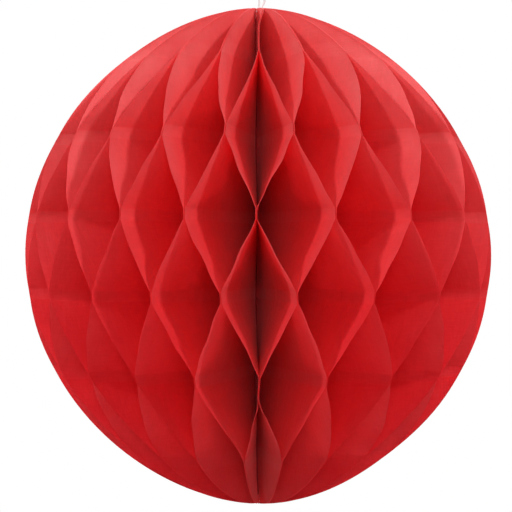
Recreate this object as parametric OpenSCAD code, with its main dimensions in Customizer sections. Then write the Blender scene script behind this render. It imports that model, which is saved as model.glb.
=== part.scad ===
// Hanging honeycomb ball: tissue leaves bound at a spine and glued to one another in
// staggered rows, closed back to back on two card covers, hung on a thin thread loop.
// Origin: the inside top of the thread loop, where the hook bears. The ball hangs below it.

/* [Ball] */
// Height of the ball from pole to pole, mm
ball_h = 100; // [90:1:160]
// Width of the ball across its middle, mm
ball_w = 93.6; // [80:0.1:160]
// How far the outline draws in toward the poles: 0.5 is an ellipse, and more is slimmer
outline_power = 0.57; // [0.5:0.005:0.6]
// How far the leaves crowd round toward the right-hand side, degrees
crowding = 5.5; // [0:0.5:6]
// How far the leaves are drawn together at the front, degrees
bunching = 1.15; // [0:0.05:1.2]

/* [Tissue leaves] */
// Thickness of one leaf, mm
leaf_t = 0.12; // [0.06:0.01:0.15]
// Glue film between two leaves where they are joined, mm
glue_film = 0.02; // [0.01:0.01:0.04]
// Height from one row of glue to the next, mm
glue_pitch = 15.25; // [10:0.25:16.5]
// Height of one strip of glue, mm
glue_band = 2; // [1:0.5:4]
// Distance of the leaves' bound edge from the axis, mm
leaf_in = 1.5; // [1.5:0.1:2]

/* [Card covers] */
// Thickness of a cover, mm
board_t = 0.4; // [0.3:0.1:0.8]
// Distance of a cover's straight edge from the axis, mm
board_in = 5.2; // [5.2:0.1:9]
// Thickness of the adhesive between the two covers, mm
tape_t = 0.1; // [0.1:0.05:0.2]
// Width of an adhesive strip, mm
tape_w = 6; // [3:1:8]
// Length of an adhesive strip, mm
tape_len = 26; // [10:1:28]

/* [Spine and thread] */
// Diameter of the cord in the spine, mm
spine_d = 2.6; // [1.5:0.1:2.6]
// Diameter of the knots at the two ends of the spine, mm
knot_d = 2.6; // [2:0.1:2.6]
// Diameter of the hanging thread, mm
thread_d = 0.4; // [0.3:0.1:0.5]
// Height of the hanging loop above the ball, mm
loop_h = 30; // [20:5:30]

/* [Hidden] */
leaf_count = 40;
glue_rows = 6;
pole_steps = 5;
r = ball_w / 2;
rz = ball_h / 2;
knot_h = 2.4;
pole_z = -loop_h;
ball_z = pole_z - rz;
knot_top = rz - 1.6;
cover_face = tape_t / 2 + board_t;
// Angles up the outline, measured at the ball's centre before it is stretched along Z:
// the edge of the last glue strip, and the tip of a leaf.
row_angle = asin(((glue_rows - 1) / 2 * glue_pitch + glue_band / 2) / rz);
tip_angle = outline_angle(leaf_in + 0.5);
tissue = [0.82, 0.1, 0.12];
card = [0.75, 0.09, 0.11];
thread_white = [0.9, 0.9, 0.88];
cord_red = [0.8, 0.12, 0.13];

// The thread's middle line, from the knot up one strand, over the top and down the other.
// X and Z in mm, Z from the top of the ball. The two top corners are rounded by the curve.
loop_route = [
    [-0.5, -1.6], [-0.5, 1], [-0.8, 8], [-1.2, 18],
    [-1.7, loop_h - 2], [-1.5, loop_h - 0.5], [-0.8, loop_h + 0.1], [0, loop_h + 0.2],
    [0.8, loop_h + 0.1], [1.5, loop_h - 0.5], [1.7, loop_h - 2],
    [1.2, 18], [0.8, 8], [0.5, 1], [0.5, -1.6]
];

// Azimuth of glue surface k, in degrees from the seam at +Y and on round past -X.
// Surface 0 lies on cover a and surface 40 on cover b.
function azimuth(k) =
    let (even = 360 * k / leaf_count)
    even + crowding * pow(sin(even), 2) + bunching * sin(3 * even);
// Unit vectors out along an azimuth, and across it toward higher azimuths.
function out_dir(a) = [-sin(a), cos(a)];
function across(a) = [-cos(a), -sin(a)];
// The glue surfaces are planes. The first and last lie on the covers, clear of the axis.
function plane_off(k) = cover_face * (1 - 2 * k / leaf_count);
// Radius of the ball at height z, and the angle up the outline where the radius is d.
function r_at(z) = r * pow(max(0, 1 - pow(z / rz, 2)), outline_power);
function outline_angle(d) = acos(pow(d / r, 0.5 / outline_power));
function row_z(n) = (n - (glue_rows - 1) / 2) * glue_pitch;
// 0 where leaf k is glued to surface k - 1 in row n, and 1 where it is glued to surface k.
function side(n, k) = (n + k) % 2;
function pole_level(n) =
    rz * sin(row_angle + (tip_angle - row_angle) * n / pole_steps);

// Heights of a leaf's cross-sections, each with its place between its two glue surfaces.
function levels(k) = concat(
    [for (n = [pole_steps:-1:1]) [-pole_level(n), side(0, k)]],
    [for (n = [0:glue_rows - 1], m = [0:3])
        if (m < 2 || n < glue_rows - 1)
            m < 2
                ? [row_z(n) + (m - 0.5) * glue_band, side(n, k)]
                : [row_z(n) + glue_band / 2 + (glue_pitch - glue_band) * (m - 1) / 3,
                    side(n, k) + (side(n + 1, k) - side(n, k)) * (m - 1) / 3]],
    [for (n = [1:pole_steps]) [pole_level(n), side(glue_rows - 1, k)]]
);

// Four corners of leaf k's cross-section at level [z, f]: inner, outer, outer, inner.
function section(k, z, f) =
    let (
        a = azimuth(k - 1) + f * (azimuth(k) - azimuth(k - 1)),
        half_gap = (leaf_t + glue_film) / 2,
        o = plane_off(k - 1) + f * (plane_off(k) - plane_off(k - 1)) + (1 - 2 * f) * half_gap
    )
    [for (c = [[0, -1], [1, -1], [1, 1], [0, 1]])
        let (
            off = o + c[1] * leaf_t / 2,
            s = c[0] == 0 ? leaf_in : sqrt(pow(r_at(z), 2) - off * off),
            p = s * out_dir(a) + off * across(a)
        )
        [p[0], p[1], z]];

// One half-oval of tissue, opened into the zigzag that its glue strips hold it in.
module leaf(k) {
    list = levels(k);
    last = len(list) - 1;
    points = [for (l = list) each section(k, l[0], l[1])];
    walls = [for (j = [0:last - 1], t = [
            [0, 4, 5], [0, 5, 1], [1, 5, 6], [1, 6, 2],
            [2, 6, 3], [6, 7, 3], [3, 7, 4], [3, 4, 0]])
        [for (v = t) v + 4 * j]];
    bottom = [[0, 1, 2], [0, 2, 3]];
    top = [for (t = [[2, 1, 0], [3, 2, 0]]) [for (v = t) v + 4 * last]];
    color(tissue)
        translate([0, 0, ball_z])
            polyhedron(points, concat(bottom, walls, top));
}

// Half-oval card outline in the plane of the seam, its straight edge beside the spine.
module board_outline() {
    edge = outline_angle(board_in);
    polygon([for (n = [-24:24])
        let (z = rz * sin(edge * n / 24))
        [r_at(z), z]]);
}

module board(x) {
    color(card)
        translate([x, 0, ball_z])
            rotate([90, 0, 90])
                linear_extrude(board_t)
                    board_outline();
}

module cover_board_a() {
    board(-cover_face);
}

module cover_board_b() {
    board(tape_t / 2);
}

// Adhesive on the back of cover a, which holds the two covers together when it is open.
module adhesive_strip(z) {
    color([0.93, 0.92, 0.86])
        translate([-tape_t / 2, r * 0.68 - tape_w, ball_z + z])
            cube([tape_t, tape_w, tape_len]);
}

module adhesive_strip_upper() {
    adhesive_strip(6);
}

module adhesive_strip_lower() {
    adhesive_strip(-6 - tape_len);
}

// Round cord down the axis, which the leaves' straight edges are stitched to.
module spine_cord() {
    color(cord_red)
        translate([0, 0, ball_z - knot_top + knot_h])
            cylinder(d = spine_d, h = 2 * (knot_top - knot_h), $fn = 32);
}

// Barrel-shaped knot with flat ends.
module knot() {
    bulge = knot_d / 2;
    color(cord_red)
        rotate_extrude($fn = 32)
            polygon([
                [0, 0], [bulge - 0.4, 0], [bulge, 0.6],
                [bulge, knot_h - 0.6], [bulge - 0.4, knot_h], [0, knot_h]
            ]);
}

module top_knot() {
    translate([0, 0, ball_z + knot_top - knot_h])
        knot();
}

module bottom_knot() {
    translate([0, 0, ball_z - knot_top])
        knot();
}

// Smooth curve through route points n and n + 1, at share t of the way between them.
function curve(p, n, t) =
    let (
        a = p[max(n - 1, 0)], b = p[n], c = p[n + 1], d = p[min(n + 2, len(p) - 1)]
    )
    (2 * b + (c - a) * t + (2 * a - 5 * b + 4 * c - d) * t * t
        + (3 * b - a - 3 * c + d) * t * t * t) / 2;
// Middle line of the thread, with a ring about every 1.1 mm.
function thread_line() = concat(
    [for (n = [0:len(loop_route) - 2])
        let (steps = max(1, round(norm(loop_route[n + 1] - loop_route[n]) / 1.1)))
        for (m = [0:steps - 1]) curve(loop_route, n, m / steps)],
    [loop_route[len(loop_route) - 1]]
);

// Thin thread doubled over the hook, its two ends drawn into the top knot.
module hanging_loop() {
    sides = 8;
    line = thread_line();
    last = len(line) - 1;
    points = [for (j = [0:last])
        let (
            d = line[min(j + 1, last)] - line[max(j - 1, 0)],
            n = j == 0 || j == last ? [1, 0] : [d[1], -d[0]] / norm(d),
            flip = j == last ? -1 : 1
        )
        for (s = [0:sides - 1])
            let (
                w = thread_d / 2 * cos(360 * s / sides) * flip,
                y = thread_d / 2 * sin(360 * s / sides)
            )
            [line[j][0] + w * n[0], y, line[j][1] + w * n[1]]];
    walls = [for (j = [0:last - 1], s = [0:sides - 1])
        let (a = j * sides + s, b = j * sides + (s + 1) % sides)
        each [[a, a + sides, b + sides], [a, b + sides, b]]];
    start = [for (s = [0:sides - 1]) s];
    end = [for (s = [sides - 1:-1:0]) last * sides + s];
    color(thread_white)
        translate([0, 0, pole_z])
            polyhedron(points, concat([start], walls, [end]));
}

hanging_loop();
top_knot();
spine_cord();
bottom_knot();
cover_board_a();
cover_board_b();
adhesive_strip_upper();
adhesive_strip_lower();
leaf(1);  // leaf_01
leaf(2);  // leaf_02
leaf(3);  // leaf_03
leaf(4);  // leaf_04
leaf(5);  // leaf_05
leaf(6);  // leaf_06
leaf(7);  // leaf_07
leaf(8);  // leaf_08
leaf(9);  // leaf_09
leaf(10);  // leaf_10
leaf(11);  // leaf_11
leaf(12);  // leaf_12
leaf(13);  // leaf_13
leaf(14);  // leaf_14
leaf(15);  // leaf_15
leaf(16);  // leaf_16
leaf(17);  // leaf_17
leaf(18);  // leaf_18
leaf(19);  // leaf_19
leaf(20);  // leaf_20
leaf(21);  // leaf_21
leaf(22);  // leaf_22
leaf(23);  // leaf_23
leaf(24);  // leaf_24
leaf(25);  // leaf_25
leaf(26);  // leaf_26
leaf(27);  // leaf_27
leaf(28);  // leaf_28
leaf(29);  // leaf_29
leaf(30);  // leaf_30
leaf(31);  // leaf_31
leaf(32);  // leaf_32
leaf(33);  // leaf_33
leaf(34);  // leaf_34
leaf(35);  // leaf_35
leaf(36);  // leaf_36
leaf(37);  // leaf_37
leaf(38);  // leaf_38
leaf(39);  // leaf_39
leaf(40);  // leaf_40
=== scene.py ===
"""Visual model of a red tissue honeycomb ball on a thread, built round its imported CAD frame."""

import math

import bpy
import numpy as np
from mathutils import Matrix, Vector


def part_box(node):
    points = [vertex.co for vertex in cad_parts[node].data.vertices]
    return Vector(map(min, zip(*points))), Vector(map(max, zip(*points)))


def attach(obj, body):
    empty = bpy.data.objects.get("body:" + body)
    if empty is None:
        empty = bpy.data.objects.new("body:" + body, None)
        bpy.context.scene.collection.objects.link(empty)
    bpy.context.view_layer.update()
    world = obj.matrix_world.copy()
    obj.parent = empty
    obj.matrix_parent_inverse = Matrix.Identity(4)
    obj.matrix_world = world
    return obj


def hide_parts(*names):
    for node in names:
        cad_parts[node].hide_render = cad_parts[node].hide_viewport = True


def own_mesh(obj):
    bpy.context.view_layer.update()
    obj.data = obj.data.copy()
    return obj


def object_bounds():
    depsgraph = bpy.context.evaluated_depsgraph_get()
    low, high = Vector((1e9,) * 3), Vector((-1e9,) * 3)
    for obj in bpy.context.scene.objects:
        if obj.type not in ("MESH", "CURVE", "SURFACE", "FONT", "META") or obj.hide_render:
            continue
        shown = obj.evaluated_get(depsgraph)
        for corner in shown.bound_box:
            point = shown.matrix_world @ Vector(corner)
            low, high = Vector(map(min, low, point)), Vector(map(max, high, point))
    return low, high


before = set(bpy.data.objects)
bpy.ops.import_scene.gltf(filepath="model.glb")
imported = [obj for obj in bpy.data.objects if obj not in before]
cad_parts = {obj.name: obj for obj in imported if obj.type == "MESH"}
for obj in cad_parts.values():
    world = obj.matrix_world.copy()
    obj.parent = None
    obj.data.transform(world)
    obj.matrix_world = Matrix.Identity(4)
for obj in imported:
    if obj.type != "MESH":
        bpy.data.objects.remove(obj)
cad_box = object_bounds()

# ---------------------------------------------------------------- sizes, in metres
# The ball, the same as in part.scad.
LEAVES = 40
R = 0.0468  # widest radius
RZ = 0.050  # half the height
OUTLINE_POWER = 0.57  # 0.5 would be an ellipse, and more is slimmer towards the poles

# The rows of glue strips.
ROWS = 6
PITCH = 0.01525  # even spacing of the rows
ROW_DRAW = 0.0184  # how unevenly the rows stand, as a share of their height
BAND = 0.002  # height of a glue strip

# A leaf.
LEAF_IN = 0.0015  # its bound edge, from the axis
POLE_IN = 0.00075  # its bound edge above and below the knots
KNOT_LEVEL = 0.0478  # height, from the middle, where the bound edge starts to draw in
KNOT_DRAW = 0.0012  # height over which it draws in
PAIR_GAP = 0.00003  # half the space between two glued leaves
SOFT_BEND = 0.06  # how soft the bend at a glue strip is, 0 to 1
COLUMNS = 20  # cells of a leaf's mesh from the spine to the outline
CAP_LEVELS = 16  # rows of points from the outermost glue strip to a pole
SPAN_LEVELS = 14  # cells between two glue strips
FRONT_PAIR = (20, 21)  # the two leaves in the middle of the view
LATE_OPENING = 0.76  # share of the lowest span in which the front pair is open

# The unevenness of a ball made by hand. Lengths are in metres and angles in degrees.
POLE_DRIFT = 0.0006  # how far the leaves lean sideways at the bottom
POLE_LEAN = 9  # how far the front leaves lean at the top
PULL_ABOVE, PULL_BELOW = 2.0, 3.2  # how far a front cell pulls its neighbours beyond the outer strips
SLOW_WOBBLE, QUICK_WOBBLE = 0.22, 0.16
PARTING = 0.0005  # how far the front leaves stand apart at the bottom
CURL, CURL_REACH = -32, 0.0048  # bend of a leaf at the spine, and how far out it ends
LIP, LIP_REACH = 0.00012, 0.0007  # lift of a cut edge, and how far in it ends
RIPPLE, RIPPLE_REACH = 0.00009, 0.009  # waviness of a cut edge, and how far in it ends

# Covers, cord, knots and thread.
COVER_FACE = 0.00045  # the face of a cover that tissue is glued to, from the plane between the covers
COVER_IN = 0.0057  # straight edge of a cover, from the axis
COVER_EDGE = 0.00008  # rounding of its cut edge
CLEAR = 0.00002  # cover b only just touches the adhesive on cover a
PLY = 0.0007  # radius of a ply of the spine cord, and of the helix that it follows
PLIES = 3
PLY_TURNS = 16
PLY_END = 0.0004  # how far the plies reach into the knot at each end
KNOT_CORD = 0.00058  # radius of the cord in a knot, pulled tight
THREAD = 0.0004  # diameter
THREAD_STEP = 0.0004  # spacing of the points along its curve
FREE_HEIGHT = 0.0014  # height above the pole where its two strands have their full spread
LOOP = 0.030  # height of the hanging loop above the pole

# Places and ratios from the frame.
leaf_lo, leaf_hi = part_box("leaf_20")
MID_Z = (leaf_lo[2] + leaf_hi[2]) / 2
CENTRE = Vector((0, 0, MID_Z))
POLE_Z = MID_Z + RZ

# ---------------------------------------------------------------- camera
DISTANCE = 7.5 * R
cam_data = bpy.data.cameras.new("camera")
cam = bpy.data.objects.new("camera", cam_data)
bpy.context.collection.objects.link(cam)
cam.location = CENTRE + Vector((0, -DISTANCE, 0))
cam.rotation_euler = (math.radians(90), 0, 0)
cam_data.sensor_width = 36
cam_data.lens = 121.8
# The ball hangs a little off the middle of the photograph. These are shares of the frame's width,
# set to match it.
cam_data.shift_x = -0.0043
cam_data.shift_y = -0.0004
cam_data.clip_start = 0.02
cam_data.clip_end = 40
bpy.context.scene.camera = cam


# ---------------------------------------------------------------- node helpers
def nodes_of(name):
    """A new material and its empty node tree."""
    mat = bpy.data.materials.new(name)
    mat.use_nodes = True
    tree = mat.node_tree
    tree.nodes.clear()
    return mat, tree


def add(tree, kind, values=None, **settings):
    node = tree.nodes.new(kind)
    for key, value in settings.items():
        setattr(node, key, value)
    for key, value in (values or {}).items():
        node.inputs[key].default_value = value
    return node


def ramp(tree, factor, stops):
    """A colour from a list of (place, colour) stops."""
    node = tree.nodes.new("ShaderNodeValToRGB")
    ends = node.color_ramp.elements
    while len(ends) < len(stops):
        ends.new(0.5)
    for end, (place, colour) in zip(ends, stops):
        end.position = place
        end.color = (*colour, 1)
    tree.links.new(factor, node.inputs["Fac"])
    return node.outputs["Color"]


def maths(tree, how, a, b=None, c=None):
    node = tree.nodes.new("ShaderNodeMath")
    node.operation = how
    for socket, value in zip(node.inputs, (a, b, c)):
        if value is None:
            continue
        if isinstance(value, (int, float)):
            socket.default_value = value
        else:
            tree.links.new(value, socket)
    return node.outputs[0]


def between(tree, value, start, end):
    """0 where value is at start, 1 where it is at end, and eased between."""
    node = add(tree, "ShaderNodeMapRange", {"From Min": start, "From Max": end},
               interpolation_type="SMOOTHSTEP")
    tree.links.new(value, node.inputs["Value"])
    return node.outputs["Result"]


def noise(tree, vector, scale, detail=3.0, rough=0.55):
    node = add(tree, "ShaderNodeTexNoise", {"Scale": scale, "Detail": detail, "Roughness": rough})
    tree.links.new(vector, node.inputs["Vector"])
    return node.outputs["Fac"]


def stretched(tree, vector, scale, turn=0.0):
    """A texture place scaled along its axes and turned in its plane, to give a noise a direction."""
    node = add(tree, "ShaderNodeMapping", {"Scale": scale, "Rotation": (0, 0, turn)})
    tree.links.new(vector, node.inputs["Vector"])
    return node.outputs["Vector"]


# ---------------------------------------------------------------- materials
def tissue_material():
    """Thin dyed tissue: soft fibres, cloudy dye, fine crinkle, and light that comes through it."""
    mat, t = nodes_of("tissue_paper")
    sheet = add(t, "ShaderNodeUVMap", uv_map="sheet")
    at = sheet.outputs["UV"]

    # Fibres in two directions, and the dye's clouds.
    fibres = noise(t, stretched(t, at, (1, 0.16, 1), 0.35), 2600, 2)
    fibres2 = noise(t, stretched(t, at, (0.16, 1, 1), -0.5), 2300, 2)
    cloud = noise(t, at, 95, 3)
    crinkle = noise(t, stretched(t, at, (1, 0.45, 1), 0.2), 260, 3, 0.6)
    fibre = maths(t, "ADD", maths(t, "MULTIPLY", fibres, 0.5), maths(t, "MULTIPLY", fibres2, 0.5))
    tone = maths(t, "ADD", maths(t, "MULTIPLY", fibre, 0.55), maths(t, "MULTIPLY", cloud, 0.45))
    front = ramp(t, tone, [
        (0.38, (0.86, 0.013, 0.023)),
        (0.5, (0.90, 0.019, 0.030)),
        (0.62, (0.935, 0.028, 0.040)),
    ])
    through = ramp(t, tone, [(0.38, (0.86, 0.012, 0.018)), (0.62, (0.95, 0.024, 0.032))])

    # Painted highlight: the tissue is paler in patches towards the cut edges of the upper half,
    # standing in for light falling from above.
    # UV "edge" holds the distance from the cut edge and the height, in metres.
    rim = add(t, "ShaderNodeUVMap", uv_map="edge")
    split = add(t, "ShaderNodeSeparateXYZ")
    t.links.new(rim.outputs["UV"], split.inputs["Vector"])
    near = between(t, split.outputs["X"], 0.013, 0.0)
    high = between(t, split.outputs["Y"], -0.02, 0.05)
    patches = maths(t, "MULTIPLY_ADD", cloud, 0.6, 0.3)
    painted_highlight = maths(t, "MULTIPLY", maths(t, "MULTIPLY", near, high), patches)
    pale = add(t, "ShaderNodeMix", data_type="RGBA")
    factor, plain, highlight_colour = pale.inputs[0], pale.inputs[6], pale.inputs[7]
    t.links.new(painted_highlight, factor)
    t.links.new(front, plain)
    # The paler colour of the painted highlight.
    highlight_colour.default_value = (0.94, 0.25, 0.245, 1)

    height = maths(t, "ADD", maths(t, "MULTIPLY", fibre, 0.25), crinkle)
    bump = add(t, "ShaderNodeBump", {"Strength": 0.5, "Distance": 0.00045})
    t.links.new(height, bump.inputs["Height"])
    face = add(t, "ShaderNodeBsdfPrincipled", {"Specular IOR Level": 0.45, "Sheen Weight": 0.09})
    t.links.new(pale.outputs[2], face.inputs["Base Color"])
    t.links.new(maths(t, "MULTIPLY_ADD", fibre, 0.2, 0.5), face.inputs["Roughness"])
    t.links.new(bump.outputs["Normal"], face.inputs["Normal"])
    back = add(t, "ShaderNodeBsdfTranslucent")
    t.links.new(through, back.inputs["Color"])
    t.links.new(bump.outputs["Normal"], back.inputs["Normal"])

    # Less light comes through where two leaves are glued together.
    mix = add(t, "ShaderNodeMixShader")
    glued = add(t, "ShaderNodeAttribute", attribute_name="glued").outputs["Fac"]
    t.links.new(maths(t, "MULTIPLY_ADD", glued, -0.13, 0.32), mix.inputs["Fac"])
    t.links.new(face.outputs["BSDF"], mix.inputs[1])
    t.links.new(back.outputs["BSDF"], mix.inputs[2])
    out = add(t, "ShaderNodeOutputMaterial")
    t.links.new(mix.outputs["Shader"], out.inputs["Surface"])
    return mat


def plain_fibre(name, dark, light, scale, rough, bump_m, sheen=0.0):
    """An opaque fibrous surface: card, adhesive liner or cotton. scale is in fibres to the metre."""
    mat, t = nodes_of(name)
    place = add(t, "ShaderNodeTexCoord").outputs["Object"]
    a = noise(t, stretched(t, place, (1, 1, 0.2)), scale, 4)
    b = noise(t, stretched(t, place, (1, 0.25, 1)), scale * 0.8, 4)
    cloud = noise(t, place, scale * 0.06, 3)
    grain = maths(t, "ADD", maths(t, "MULTIPLY", a, 0.5), maths(t, "MULTIPLY", b, 0.5))
    tone = maths(t, "ADD", maths(t, "MULTIPLY", grain, 0.6), maths(t, "MULTIPLY", cloud, 0.4))
    bump = add(t, "ShaderNodeBump", {"Strength": 0.4, "Distance": bump_m})
    t.links.new(grain, bump.inputs["Height"])
    face = add(t, "ShaderNodeBsdfPrincipled", {"Specular IOR Level": 0.35, "Sheen Weight": sheen})
    t.links.new(ramp(t, tone, [(0.32, dark), (0.68, light)]), face.inputs["Base Color"])
    t.links.new(maths(t, "MULTIPLY_ADD", grain, 0.25, rough), face.inputs["Roughness"])
    t.links.new(bump.outputs["Normal"], face.inputs["Normal"])
    out = add(t, "ShaderNodeOutputMaterial")
    t.links.new(face.outputs["BSDF"], out.inputs["Surface"])
    return mat


TISSUE = tissue_material()
CARD = plain_fibre("card", (0.44, 0.006, 0.012), (0.56, 0.014, 0.02), 900, 0.5, 0.00008)
TAPE = plain_fibre("adhesive_paper", (0.72, 0.70, 0.60), (0.86, 0.84, 0.76), 1400, 0.35, 0.00003)
RED_CORD = plain_fibre("red_cotton", (0.34, 0.006, 0.010), (0.54, 0.016, 0.022), 3000, 0.75, 0.00006)
WHITE_THREAD = plain_fibre("white_cotton", (0.80, 0.80, 0.79), (0.94, 0.94, 0.93), 5000, 0.7, 0.00004,
                           sheen=0.3)


# ---------------------------------------------------------------- mesh helpers
def mesh_object(name, points, faces, mat, smooth=True):
    """A new object at the origin, with its place in its mesh."""
    mesh = bpy.data.meshes.new(name)
    mesh.from_pydata([tuple(p) for p in points], [], faces)
    mesh.materials.append(mat)
    if smooth:
        mesh.polygons.foreach_set("use_smooth", [True] * len(mesh.polygons))
    mesh.update()
    ob = bpy.data.objects.new(name, mesh)
    bpy.context.collection.objects.link(ob)
    return ob


def grid_faces(rows, columns):
    """Quads over a grid of points listed row by row."""
    return [
        (j * columns + i, (j + 1) * columns + i, (j + 1) * columns + i + 1, j * columns + i + 1)
        for j in range(rows - 1)
        for i in range(columns - 1)
    ]


def azimuth(k):
    """The angle of glue surface k round the spine. The leaves crowd a little to one side."""
    even = math.radians(360 * k / LEAVES)
    return math.radians(360 * k / LEAVES + 5.5 * math.sin(even) ** 2 + 1.15 * math.sin(3 * even))


def plane_off(k):
    """How far glue surface k stands off the plane through the axis, to leave room for the covers."""
    return COVER_FACE * (1 - 2 * k / LEAVES)


def row_z(n):
    """Heights of the glue rows, from the middle.

    The widest part of the ball draws its rows together, and the outer ones are further out.
    """
    h = (n - (ROWS - 1) / 2) * PITCH
    return h - ROW_DRAW * h * (1 - (h / (1.5 * PITCH)) ** 2)


def side(n, k):
    """Whether leaf k is glued to surface k - 1 (0) or to surface k (1) at row n."""
    return (n + k) % 2


def place_between(k, z):
    """How far leaf k is from glue surface k - 1 to surface k at height z, 0 to 1.

    It bends softly at each glue strip.
    """
    if z <= row_z(0):
        return float(side(0, k))
    if z >= row_z(ROWS - 1):
        return float(side(ROWS - 1, k))
    n = max(n for n in range(ROWS - 1) if z >= row_z(n))
    t = (z - row_z(n) - BAND / 2) / (row_z(n + 1) - row_z(n) - BAND)
    t = min(max(t, 0.0), 1.0)
    soft = t * t * (3 - 2 * t)
    t = t + SOFT_BEND * (soft - t)
    if n == 0 and k in FRONT_PAIR:
        t = min(1.0, t / LATE_OPENING)
    return side(n, k) + (side(n + 1, k) - side(n, k)) * t


def r_at(z):
    """The ball's radius at height z from the middle."""
    return R * max(0.0, 1 - (z / RZ) ** 2) ** OUTLINE_POWER


def outline_angle(d):
    """The angle up the outline, measured before it is stretched, where the radius is d."""
    return math.acos((d / R) ** (0.5 / OUTLINE_POWER))


def leaf_levels():
    """Heights of a leaf's rows of points, closest together where it bends at the glue strips."""
    last = row_z(ROWS - 1) + BAND / 2
    first = math.asin(last / RZ)
    tip = outline_angle(POLE_IN + 0.0006)
    cap = [RZ * math.sin(first + (tip - first) * (i / CAP_LEVELS)) for i in range(1, CAP_LEVELS + 1)]
    middle = []
    for n in range(ROWS):
        middle += [row_z(n) - BAND / 2, row_z(n), row_z(n) + BAND / 2]
        if n < ROWS - 1:
            low = row_z(n) + BAND / 2
            gap = row_z(n + 1) - row_z(n) - BAND
            middle += [low + gap * (1 - math.cos(math.pi * i / SPAN_LEVELS)) / 2
                       for i in range(1, SPAN_LEVELS)]
    return [-z for z in cap[::-1]] + middle + cap


LEVELS = leaf_levels()


def inner_edge(z):
    """The bound edge keeps clear of the spine, and draws in above and below the two knots."""
    t = min(max((abs(z) - KNOT_LEVEL) / KNOT_DRAW, 0.0), 1.0)
    return LEAF_IN + (POLE_IN - LEAF_IN) * t


def drift(z):
    """The leaves lean a little to one side at the bottom."""
    return POLE_DRIFT * max(0.0, (-z / RZ - 0.7) / 0.3) ** 3


def nudge(a, z):
    """The pull of one front cell on its neighbours beyond the outer glue strips, in radians."""
    near = min(max((abs(z) / RZ - 0.5) / 0.26, 0.0), 1.0)
    near = near * near * (3 - 2 * near)
    front = math.degrees(a) - 180
    tip = min(max((z / RZ - 0.86) / 0.14, 0.0), 1.0)
    lean = POLE_LEAN * tip * tip * math.exp(-((front / 14) ** 2))
    if z > 0:
        return math.radians(lean + PULL_ABOVE * near * math.exp(-(((front + 19) / 11) ** 2)))
    return math.radians(PULL_BELOW * near * math.exp(-(((front + 8) / 13) ** 2)))


def wobble(a, z):
    """Small unevenness that the whole honeycomb shares, in radians."""
    mm = 1000 * z
    slow = math.sin(3 * a + 0.11 * mm + 0.7) + 0.8 * math.sin(5 * a - 0.17 * mm + 2.1)
    quick = math.sin(9 * a + 0.55 * mm) * math.sin(4 * a - 0.41 * mm + 1.0)
    away_from_covers = min(1.0, 1.6 * math.sin(a / 2) ** 2)
    return math.radians(SLOW_WOBBLE * slow + QUICK_WOBBLE * quick) * away_from_covers


def part(x, y, z):
    """Below the bottom knot the front leaves stand a little apart from the middle line."""
    tip = max(0.0, (-z / RZ - 0.8) / 0.2)
    in_front = min(max(0.5 - y / 0.006, 0.0), 1.0)
    return PARTING * tip * tip * math.tanh(x / 0.0009) * in_front


def curl(s):
    """Beside the spine every leaf bends round it the same way, so no cell is open right through."""
    return math.radians(CURL) * max(0.0, 1 - s / CURL_REACH) ** 2


def to_edge(s, z):
    """Distance from a point of a leaf to its cut edge, near enough."""
    out = max(r_at(z) - s, 0.0)
    up = max(RZ * math.sqrt(max(0.0, 1 - (s / R) ** (1 / OUTLINE_POWER))) - abs(z), 0.0)
    return out * up / max(math.hypot(out, up), 1e-9)


def lip(distance):
    """A cut edge lifts a little off the leaf that it is glued beside."""
    return LIP * max(0.0, 1 - distance / LIP_REACH) ** 2


def ripple(k, z, f, distance):
    """Each leaf's own waviness along its cut edge, away from its glue strips, in metres."""
    mm = 1000 * z
    wave = math.sin(0.83 * mm + 2.4 * k) + 0.8 * math.sin(0.51 * mm + 1.7 * k + 1.1)
    return RIPPLE * wave * 4 * f * (1 - f) * max(0.0, 1 - distance / RIPPLE_REACH) ** 2


def make_leaf(k):
    """One sheet, leaf k of the fan, from the spine to the outline at every level."""
    points, coords, edges, glue = [], [], [], []
    for z in LEVELS:
        f = place_between(k, z)
        a = azimuth(k - 1) + f * (azimuth(k) - azimuth(k - 1))
        a += nudge(a, z) + wobble(a, z)
        flat = plane_off(k - 1) + f * (plane_off(k) - plane_off(k - 1))
        start = inner_edge(z)
        end = max(math.sqrt(max(r_at(z) ** 2 - flat * flat, 0.0)), start + 0.0002)
        for i in range(COLUMNS + 1):
            u = i / COLUMNS
            s = start + (end - start) * (1 - (1 - u) ** 1.3)
            inward = to_edge(s, z)
            o = flat + (1 - 2 * f) * (PAIR_GAP + lip(inward)) + ripple(k, z, f, inward)
            c, d = math.cos(a + curl(s)), math.sin(a + curl(s))
            x, y = -s * d - o * c, s * c - o * d
            points.append((x + part(x, y, z) + drift(z), y, MID_Z + z))
            coords.append((s, z))
            edges.append((inward, z))
            glue.append(float(any(abs(z - row_z(n)) < 0.51 * BAND for n in range(ROWS))))
    ob = mesh_object(f"tissue_leaf_{k:02d}", points, grid_faces(len(LEVELS), COLUMNS + 1), TISSUE)
    sheet = ob.data.uv_layers.new(name="sheet")
    edge = ob.data.uv_layers.new(name="edge")
    index = np.empty(len(ob.data.loops), int)
    ob.data.loops.foreach_get("vertex_index", index)
    shift = np.array((0.11 * k, 0.07 * k))
    sheet.data.foreach_set("uv", (np.array(coords)[index] + shift).ravel())
    edge.data.foreach_set("uv", np.array(edges)[index].ravel())
    ob.data.attributes.new("glued", "FLOAT", "POINT").data.foreach_set("value", glue)
    node = f"leaf_{k:02d}"
    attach(ob, f"leaf_body_{k:02d}")
    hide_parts(node)
    o = (plane_off(k - 1) + plane_off(k)) / 2
    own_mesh(ob)


# ---------------------------------------------------------------- the tissue
for k in range(1, LEAVES + 1):
    make_leaf(k)


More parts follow.
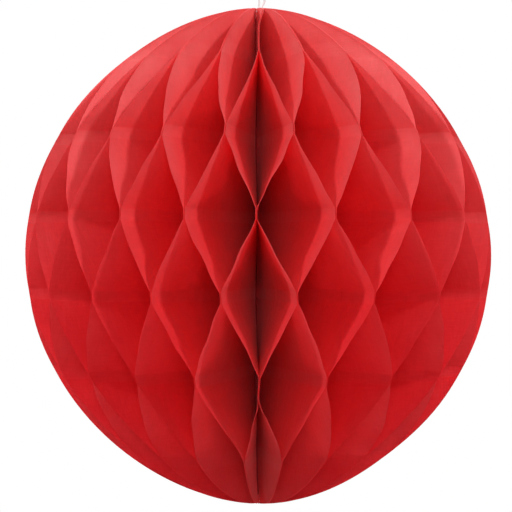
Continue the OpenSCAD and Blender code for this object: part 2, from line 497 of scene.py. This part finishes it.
# ---------------------------------------------------------------- the two covers
def make_cover(name, node, x0, x1, body):
    """Half-oval of card, cut with a slightly rounded edge."""
    edge = outline_angle(COVER_IN)
    outline = [(r_at(RZ * math.sin(v)), RZ * math.sin(v)) for v in np.linspace(-edge, edge, 181)]
    rings = []
    sides = ((x0, COVER_EDGE), (x0 + COVER_EDGE, 0.0), (x1 - COVER_EDGE, 0.0), (x1, COVER_EDGE))
    for x, back in sides:
        ring = []
        for y, z in outline:
            long = math.hypot(y - COVER_IN, z)
            drawn_in = y - back * (y - COVER_IN) / long
            ring.append((x, max(COVER_IN + back, drawn_in), MID_Z + z - back * z / long))
        rings.append(ring)
    count = len(outline)
    points = [p for ring in rings for p in ring]
    faces = [
        (j * count + i, (j + 1) * count + i,
         (j + 1) * count + (i + 1) % count, j * count + (i + 1) % count)
        for j in range(3)
        for i in range(count)
    ]
    for j, turn in ((0, 1), (3, -1)):
        centre = len(points)
        points.append((rings[j][0][0], COVER_IN + 0.4 * (R - COVER_IN), MID_Z))
        for i in range(count):
            tri = (j * count + i, j * count + (i + 1) % count, centre)
            faces.append(tri[::turn])
    ob = mesh_object(name, points, faces, CARD, smooth=False)
    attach(ob, body)
    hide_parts(node)


lo_a, hi_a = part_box("cover_board_a")
lo_b, hi_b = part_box("cover_board_b")
make_cover("card_cover_a", "cover_board_a", lo_a[0], hi_a[0], "core")
make_cover("card_cover_b", "cover_board_b", lo_b[0] + CLEAR, hi_b[0], "cover_b")

for name in ("adhesive_strip_upper", "adhesive_strip_lower"):
    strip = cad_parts[name]
    strip.data.materials.clear()
    strip.data.materials.append(TAPE)


# ---------------------------------------------------------------- cord, knots and thread
def tube(line, radius, sides, closed=False):
    """Points and faces of a round tube along a line of points."""
    line = np.array(line, float)
    count = len(line)
    points, faces = [], []
    normal = None
    for j in range(count):
        before, after = (j - 1) % count, (j + 1) % count
        if not closed:
            before, after = max(j - 1, 0), min(j + 1, count - 1)
        along = line[after] - line[before]
        along /= np.linalg.norm(along)
        if normal is None:
            guess = np.array((0, 1.0, 0)) if abs(along[1]) < 0.9 else np.array((1.0, 0, 0))
            normal = guess - along * guess.dot(along)
        normal = normal - along * normal.dot(along)
        normal /= np.linalg.norm(normal)
        other = np.cross(along, normal)
        for s in range(sides):
            angle = 2 * math.pi * s / sides
            points.append(line[j] + radius * (math.cos(angle) * normal + math.sin(angle) * other))
    for j in range(count if closed else count - 1):
        for s in range(sides):
            a, b = j * sides + s, j * sides + (s + 1) % sides
            c, d = ((j + 1) % count) * sides + (s + 1) % sides, ((j + 1) % count) * sides + s
            faces.append((a, b, c, d))
    if not closed:
        faces.append(tuple(range(sides))[::-1])
        faces.append(tuple((count - 1) * sides + s for s in range(sides)))
    return points, faces


def joined(parts):
    """Several sets of points and faces as one."""
    points, faces = [], []
    for some, more in parts:
        faces += [tuple(v + len(points) for v in f) for f in more]
        points += list(some)
    return points, faces


def make_spine():
    """Three plies laid round one another."""
    lo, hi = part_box("spine_cord")
    strands = []
    for ply in range(PLIES):
        line = []
        for v in np.linspace(0, 1, 400):
            angle = 2 * math.pi * (v * PLY_TURNS + ply / PLIES)
            z = lo[2] - PLY_END + v * (hi[2] - lo[2] + 2 * PLY_END)
            line.append((PLY * math.cos(angle), PLY * math.sin(angle), z))
        strands.append(tube(line, PLY, 10))
    ob = mesh_object("spine_plies", *joined(strands), RED_CORD)
    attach(ob, "core")
    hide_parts("spine_cord")


def make_knot(name, node, body):
    """An overhand knot pulled up tight, which is a trefoil squeezed into a barrel."""
    lo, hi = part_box(node)
    middle = (lo + hi) / 2
    room = [half - KNOT_CORD for half in (hi - lo) / 2]
    line = []
    for v in np.linspace(0, 2 * math.pi, 180, endpoint=False):
        x, y = math.sin(v) + 2 * math.sin(2 * v), math.cos(v) - 2 * math.cos(2 * v)
        z = -math.sin(3 * v)
        line.append((middle[0] + x / 3 * room[0],
                     middle[1] + y / 3 * room[1],
                     middle[2] + z * room[2]))
    ob = mesh_object(name, *tube(line, KNOT_CORD, 10, True), RED_CORD)
    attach(ob, body)
    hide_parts(node)
    return ob


make_spine()
make_knot("bottom_overhand_knot", "bottom_knot", "core")
top_knot = make_knot("top_overhand_knot", "top_knot", "hanger")

# The thread's route, the same points as the CAD's: X and the height above the pole.
ROUTE = np.array([
    (-0.5, -1.6), (-0.5, 1), (-0.8, 8), (-1.2, 18), (-1.7, 28), (-1.5, 29.5), (-0.8, 30.1), (0, 30.2),
    (0.8, 30.1), (1.5, 29.5), (1.7, 28), (1.2, 18), (0.8, 8), (0.5, 1), (0.5, -1.6),
]) / 1000


def thread_line():
    """A smooth curve through the route.

    Its two ends are drawn together and aside where they go down between the leaves.
    """
    line = []
    last = len(ROUTE) - 1
    for n in range(last):
        a, b, c, d = ROUTE[max(n - 1, 0)], ROUTE[n], ROUTE[n + 1], ROUTE[min(n + 2, last)]
        steps = max(4, round(np.linalg.norm(c - b) / THREAD_STEP))
        for m in range(steps):
            t = m / steps
            square = (2 * a - 5 * b + 4 * c - d) * t**2
            cube = (3 * b - a - 3 * c + d) * t**3
            line.append((2 * b + (c - a) * t + square + cube) / 2)
    line.append(ROUTE[last])
    placed = []
    for x, h in line:
        free = min(max(h / FREE_HEIGHT, 0.0), 1.0)
        aside = (0.0003 + 0.0005 * free) * max(0.0, 1 - h / LOOP)
        placed.append((x * (0.4 + 0.6 * free) + aside, 0.0, POLE_Z + h))
    return placed


def make_thread():
    """The doubled thread, from the upper pole round its loop and back."""
    line = thread_line()
    curve = bpy.data.curves.new("hanging_thread", "CURVE")
    curve.dimensions = "3D"
    curve.bevel_depth = THREAD / 2
    curve.bevel_resolution = 3
    curve.use_fill_caps = True
    spline = curve.splines.new("POLY")
    spline.points.add(len(line) - 1)
    for point, place in zip(spline.points, line):
        point.co = (*place, 1)
    curve.materials.append(WHITE_THREAD)
    ob = bpy.data.objects.new("hanging_thread", curve)
    bpy.context.collection.objects.link(ob)
    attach(ob, "hanger")
    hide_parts("hanging_loop")


make_thread()


# ---------------------------------------------------------------- floor, backdrop and lights
FLOOR_DROP = 0.55  # below the ball
FLOOR_R = 1.0


def make_floor():
    """A pale round floor that fades out towards its edge."""
    mat, t = nodes_of("studio_floor")
    place = add(t, "ShaderNodeTexCoord").outputs["Object"]
    face = add(t, "ShaderNodeBsdfPrincipled", {"Roughness": 0.8, "Specular IOR Level": 0.2})
    shade = ramp(t, noise(t, place, 3, 2), [(0.3, (0.86, 0.86, 0.86)), (0.7, (0.9, 0.9, 0.9))])
    t.links.new(shade, face.inputs["Base Color"])
    clear = add(t, "ShaderNodeBsdfTransparent")
    away = add(t, "ShaderNodeVectorMath", operation="LENGTH")
    t.links.new(place, away.inputs[0])
    mix = add(t, "ShaderNodeMixShader")
    t.links.new(between(t, away.outputs["Value"], 0.3 * FLOOR_R, 0.97 * FLOOR_R), mix.inputs["Fac"])
    t.links.new(face.outputs["BSDF"], mix.inputs[1])
    t.links.new(clear.outputs["BSDF"], mix.inputs[2])
    out = add(t, "ShaderNodeOutputMaterial")
    t.links.new(mix.outputs["Shader"], out.inputs["Surface"])
    turns = np.linspace(0, 2 * math.pi, 96, endpoint=False)
    ring = [(FLOOR_R * math.cos(v), FLOOR_R * math.sin(v), 0) for v in turns]
    ob = mesh_object("studio_floor", ring, [tuple(range(len(ring)))], mat, False)
    ob.location = (0, 0, cad_box[0][2] - FLOOR_DROP)


make_floor()

LIGHT_DISTANCE = 1.4


def softbox(name, azimuth_deg, elevation_deg, size, watts):
    """Azimuth 0 is in front of the ball, and 90 is on its +X side."""
    a, e = math.radians(azimuth_deg), math.radians(elevation_deg)
    back = Vector((math.sin(a) * math.cos(e), -math.cos(a) * math.cos(e), math.sin(e)))
    data = bpy.data.lights.new(name, "AREA")
    data.shape = "SQUARE"
    data.size = size
    data.energy = watts
    ob = bpy.data.objects.new(name, data)
    bpy.context.collection.objects.link(ob)
    ob.location = CENTRE + back * LIGHT_DISTANCE
    ob.rotation_euler = back.to_track_quat("Z", "Y").to_euler()
    ob.visible_camera = False


softbox("front", 0, 9, 0.4, 4.1)
softbox("key_left", -46, 34, 0.12, 7.7)
softbox("key_right", 46, 34, 0.12, 7.7)
softbox("overhead", 0, 88, 1.0, 1.1)
softbox("back_left", -150, 25, 0.8, 7)
softbox("back_right", 150, 25, 0.8, 7)


def make_world():
    """Soft light that is stronger from above, and a white backdrop that only the camera sees."""
    world = bpy.data.worlds.new("studio")
    bpy.context.scene.world = world
    world.use_nodes = True
    sky = world.node_tree
    fill = sky.nodes["Background"]
    fill.inputs["Color"].default_value = (1, 1, 1, 1)
    direction = add(sky, "ShaderNodeSeparateXYZ")
    sky.links.new(add(sky, "ShaderNodeTexCoord").outputs["Generated"], direction.inputs["Vector"])
    upward = between(sky, direction.outputs["Z"], -0.8, 0.7)
    sky.links.new(maths(sky, "MULTIPLY_ADD", upward, 0.35, 0.035), fill.inputs["Strength"])
    backdrop = add(sky, "ShaderNodeBackground", {"Color": (1, 1, 1, 1), "Strength": 1.0})
    seen = add(sky, "ShaderNodeMixShader")
    sky.links.new(add(sky, "ShaderNodeLightPath").outputs["Is Camera Ray"], seen.inputs["Fac"])
    sky.links.new(fill.outputs["Background"], seen.inputs[1])
    sky.links.new(backdrop.outputs["Background"], seen.inputs[2])
    sky.links.new(seen.outputs["Shader"], sky.nodes["World Output"].inputs["Surface"])


make_world()
bpy.context.scene.view_settings.view_transform = "Standard"
bpy.context.scene.cycles.max_bounces = 20
bpy.context.scene.cycles.diffuse_bounces = 12
bpy.context.scene.cycles.transmission_bounces = 16
